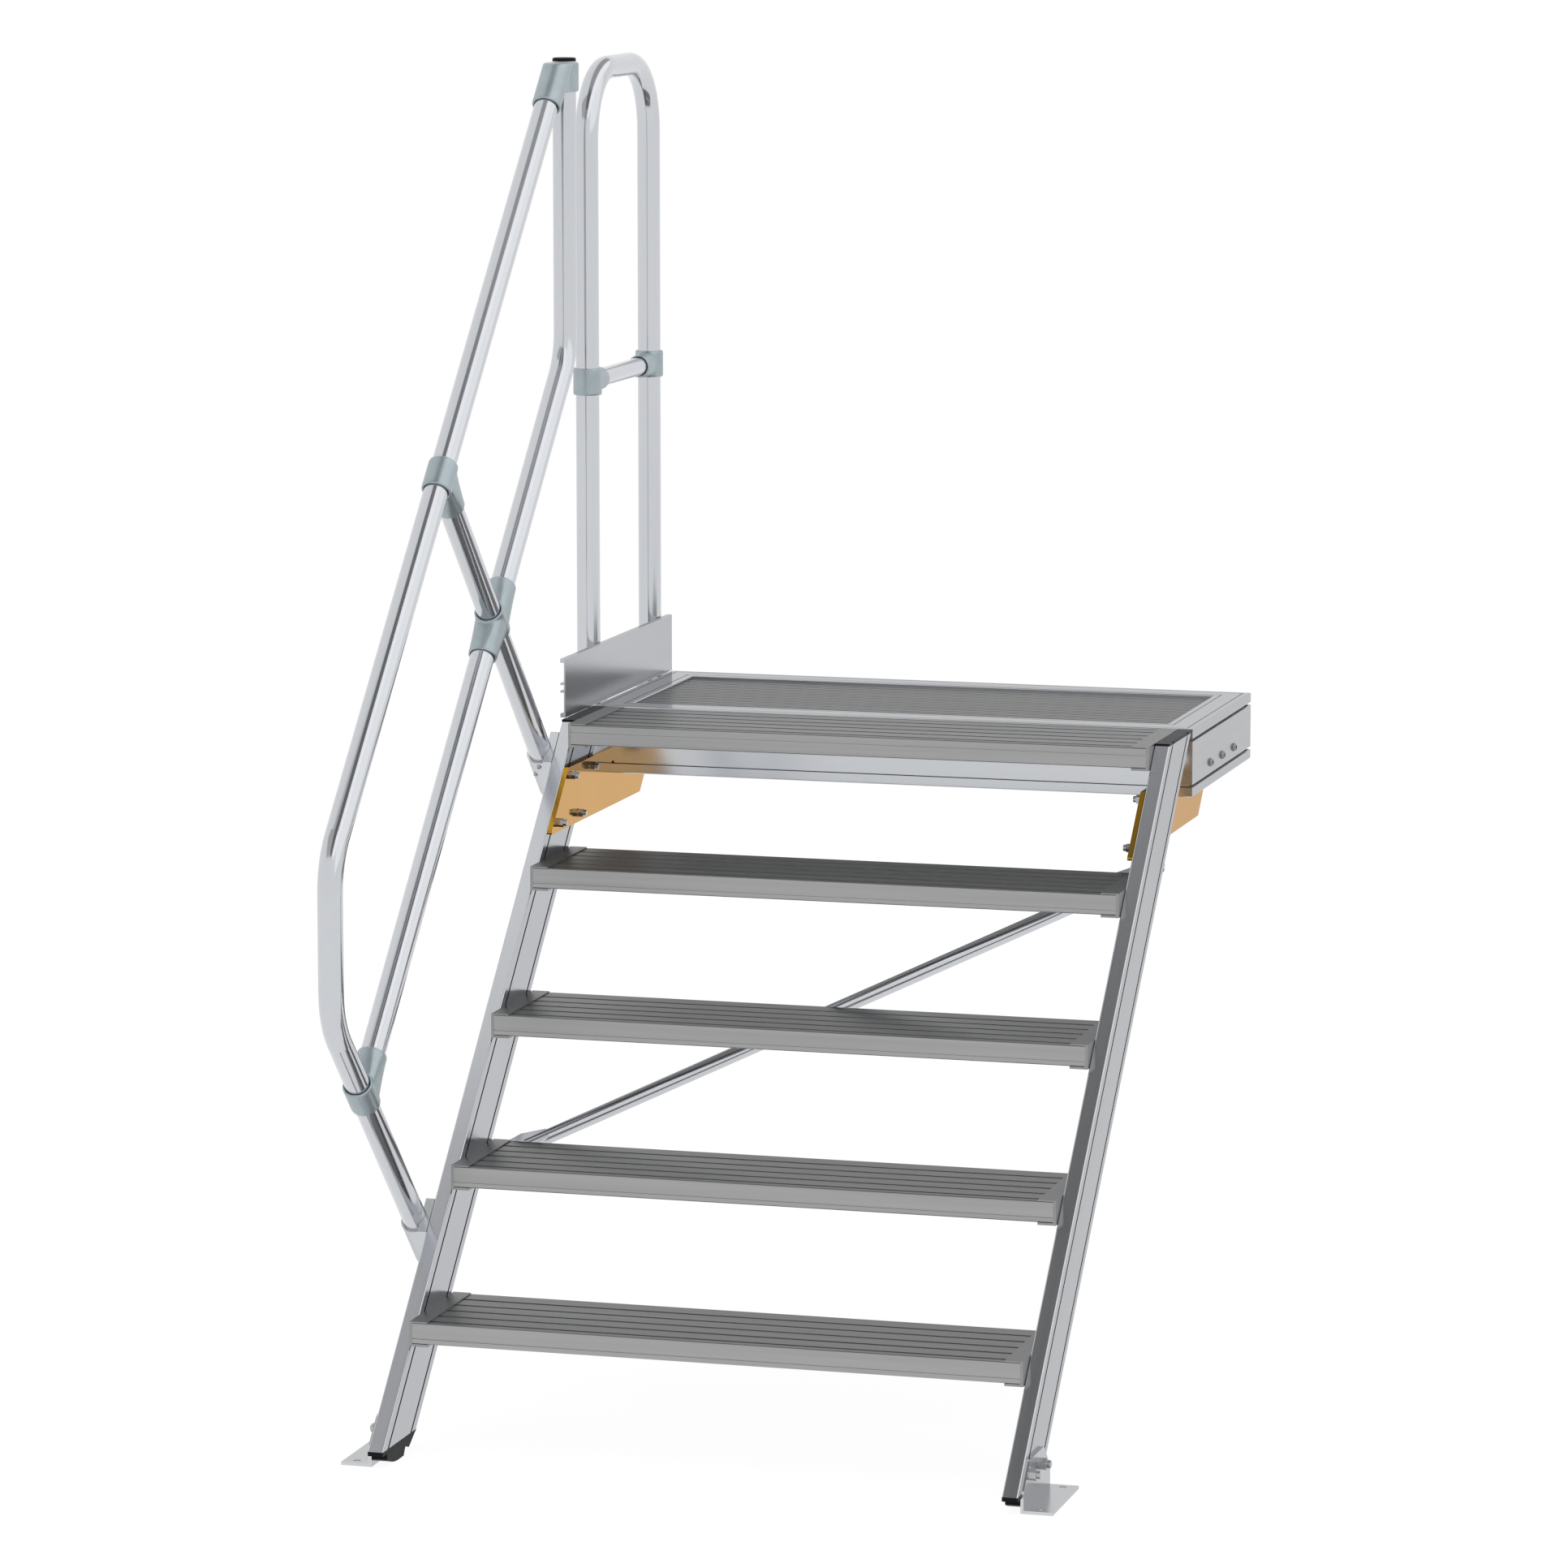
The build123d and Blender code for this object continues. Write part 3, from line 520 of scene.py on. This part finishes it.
beamScrews = {
    "spots": ((1202.5, 974.5), (1295.0, 973.9), (1388.3, 974.0)), "outside": 525, "seed": 9,
    "sizes": {"Head Radius": 0.0074, "Head Height": 0.0048, "Key Size": 0.0072},
}
seats = [(place(beamScrews["outside"], y, z), (1, 0, 0)) for y, z in beamScrews["spots"]]
# the beam screws take the darker steel, which is painted shade
standOn("beamScrews", screws, seats, beamScrews, shadedSteel)

bracketScrews = {
    "spots": (
        ((-554.2, 847.4, 973.1), (-0.032, -0.707, -0.707)), ((-567.0, 868.7, 957.1), (-0.54, -0.595, -0.595))),
    "sink": 0.3, "seed": 11,
    "sizes": {"Head Radius": 0.0046, "Head Height": 0.0030, "Key Size": 0.0036},
}
seats = [(place(*spot) - Vector(way) * bracketScrews["sink"] / 1000, way) for spot, way in bracketScrews["spots"]]
standOn("bracketScrews", screws, seats, bracketScrews)

# studio: white all round for what is seen directly or mirrored, a plain level for soft light
skyLook = {"level": 0.62}
world = bpy.data.worlds.new("studio")
scene.world = world
world.use_nodes = True
world.node_tree.nodes.clear()
sky = Wire(world.node_tree)


# 1 for rays that see a thing directly, mirrored or through glass
def seenShare(ink):
    labels = ("Is Camera Ray", "Is Glossy Ray", "Is Transmission Ray")
    direct, mirrored, through = (ink.node("ShaderNodeLightPath", None, None, label) for label in labels)
    return ink.maths("MAXIMUM", direct, ink.maths("MAXIMUM", mirrored, through))


glow = sky.node("ShaderNodeBackground", None, {
    "Color": (1, 1, 1), "Strength": skyLook["level"] + seenShare(sky) * (1 - skyLook["level"])})
sky.node("ShaderNodeOutputWorld", None, {"Surface": glow})


def flatSheet(name, corners, material):
    mesh = bpy.data.meshes.new(name)
    mesh.from_pydata([Vector(c) for c in corners], [], [(0, 1, 2, 3)])
    sheet = bpy.data.objects.new(name, mesh)
    scene.collection.objects.link(sheet)
    sheet.data.materials.append(material)
    return sheet


floorLook = {"reach": 60.0, "drop": 0.0005, "white": 1.07, "share": 0.88, "matt": 0.86}
floorMaterial, ink = newMaterial("floorWhite")
matt = ink.node("ShaderNodeBsdfDiffuse", None, {"Color": (floorLook["matt"],) * 3})
lit = ink.node("ShaderNodeEmission", None, {"Color": (1, 1, 1), "Strength": floorLook["white"]})
mixed = ink.node("ShaderNodeMixShader", None, {0: seenShare(ink) * floorLook["share"], 1: matt, 2: lit})
ink.node("ShaderNodeOutputMaterial", None, {"Surface": mixed})
floorCorners = [
    (x * floorLook["reach"], y * floorLook["reach"], -floorLook["drop"])
    for x, y in ((-1, -1), (1, -1), (1, 1), (-1, 1))]
flatSheet("floor", floorCorners, floorMaterial)

# cards that only mirrors see: a grey one in front, bright ones to the right,
# and a dim strip over the stair that pales towards the back
cards = {
    "frontCard": {"shade": 0.55, "low": (-6000, -6000, 6000), "high": (-1391, -800, 6000)},
    "brightCard": {"shade": 1.35, "low": (821, -6000, 6000), "high": (3600, 8000, 6000)},
    "rightCard": {"shade": 1.25, "low": (7000, -6000, 3000), "high": (7000, 8000, 9500)},
}
dimSteps = {
    "left": -1390, "right": 820, "height": 6000,
    "edges": (-6000, -700, -350, -100, 100, 8000), "shades": (0.18, 0.22, 0.28, 0.38, 0.46),
}
for step, shade in enumerate(dimSteps["shades"]):
    near, far = dimSteps["edges"][step:step + 2]
    cards[f"dimCard{step + 1}"] = {
        "shade": shade, "low": (dimSteps["left"], near, dimSteps["height"]),
        "high": (dimSteps["right"], far, dimSteps["height"])}
for name, look in cards.items():
    cardMaterial, ink = newMaterial(name)
    shine = ink.node("ShaderNodeEmission", None, {"Color": (1, 1, 1), "Strength": look["shade"]})
    ink.node("ShaderNodeOutputMaterial", None, {"Surface": shine})
    low, high = place(*look["low"]), place(*look["high"])
    side = Vector((high.x, low.y, low.z)) if high.x > low.x else Vector((low.x, low.y, high.z))
    card = flatSheet(name, [low, side, high, low + high - side], cardMaterial)
    for flag in ("visible_camera", "visible_diffuse", "visible_shadow", "visible_transmission"):
        setattr(card, flag, False)

lamps = {
    "leftBank": {"at": (-3.3, 0.5, 6.0), "aim": (-3.3, 0.5, 0.0), "size": (2.6, 9.0), "power": 80},
    "rightBank": {"at": (1.6, 0.5, 6.0), "aim": (1.6, 0.5, 0.0), "size": (2.6, 9.0), "power": 100},
    "frontBank": {"at": (0.5, -8.0, 4.2), "aim": (-0.5, 0.6, 1.0), "size": (5.0, 3.0), "power": 60},
}
for name, lamp in lamps.items():
    light = bpy.data.lights.new(name, "AREA")
    light.shape = "RECTANGLE"
    light.size, light.size_y = lamp["size"]
    light.energy = lamp["power"]
    body = bpy.data.objects.new(name, light)
    body.visible_glossy = False
    scene.collection.objects.link(body)
    way = Vector(lamp["aim"]) - Vector(lamp["at"])
    body.matrix_world = Matrix.Translation(Vector(lamp["at"])) @ way.to_track_quat("-Z", "Y").to_matrix().to_4x4()
print("studio lit")

# camera at the photograph's place
cameraLook = {
    "at": (2.3973, -9.92778, 2.6707), "down": 8.6499, "turn": 15.8746, "lens": 156.262, "sensor": 36.0, "reach": 200,
}
cameraData = bpy.data.cameras.new("camera")
cameraData.sensor_fit = "HORIZONTAL"
cameraData.sensor_width = cameraLook["sensor"]
cameraData.lens = cameraLook["lens"]
cameraData.clip_end = cameraLook["reach"]
camera = bpy.data.objects.new("camera", cameraData)
scene.collection.objects.link(camera)
camera.location = cameraLook["at"]
camera.rotation_euler = (math.radians(90 - cameraLook["down"]), 0, math.radians(cameraLook["turn"]))
scene.camera = camera
